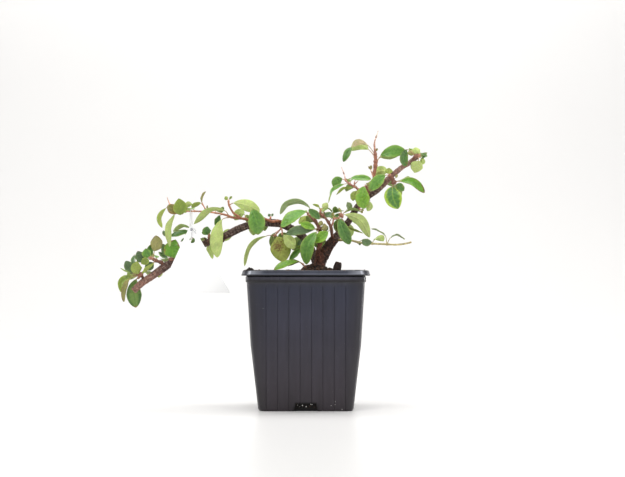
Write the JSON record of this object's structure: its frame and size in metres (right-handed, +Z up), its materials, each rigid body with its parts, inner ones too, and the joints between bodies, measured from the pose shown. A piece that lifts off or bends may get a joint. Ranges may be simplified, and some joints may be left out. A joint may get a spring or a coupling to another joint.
{
  "type": "bearberry cotoneaster bonsai in nursery pot",
  "caption": "Leaning bearberry cotoneaster grown as a bonsai in a square black nursery pot, with a blank triangular card hung on a string.",
  "frame": {"origin": "centre of the underside of the pot", "axes": "+Z up, +X to the right along the branches as seen from the front, -Y towards the front"},
  "size_m": [0.2732, 0.11, 0.2418],
  "materials": {
    "pot_plastic": "charcoal black moulded plastic with a slight sheen",
    "potting_soil": "dark crumbly peat soil with white perlite grains",
    "bark": "dark brown rough bark",
    "foliage": "leathery green leaves, glossy above and pale below, on reddish twigs",
    "card": "blank white card",
    "string": "off-white twisted string"
  },
  "bodies": {
    "root": {"pot": "pot_plastic", "soil": "potting_soil", "wood": "bark", "stub": "bark", "shoot_tip_left": "foliage", "shoot_left": "foliage", "shoot_beside_tag": "foliage", "shoot_behind_tag": "foliage", "shoot_above_tag": "foliage", "shoot_right_of_tag": "foliage", "shoot_hanging": "foliage", "shoot_buds_left": "foliage", "shoot_middle": "foliage", "shoot_front": "foliage", "twig_bare": "foliage", "shoot_upper_left": "foliage", "shoot_upright": "foliage", "shoot_crook": "foliage", "shoot_bend": "foliage", "shoot_buds_right": "foliage", "shoot_tip_right": "foliage", "shoot_low": "foliage", "shoot_low_back": "foliage", "shoot_base": "foliage", "shoot_back_left": "foliage", "shoot_back_bough": "foliage", "shoot_back_right": "foliage", "shoot_back_crook": "foliage", "tag": "card", "tag_string": "string", "tag_knot": "string"}
  },
  "joints": []
}
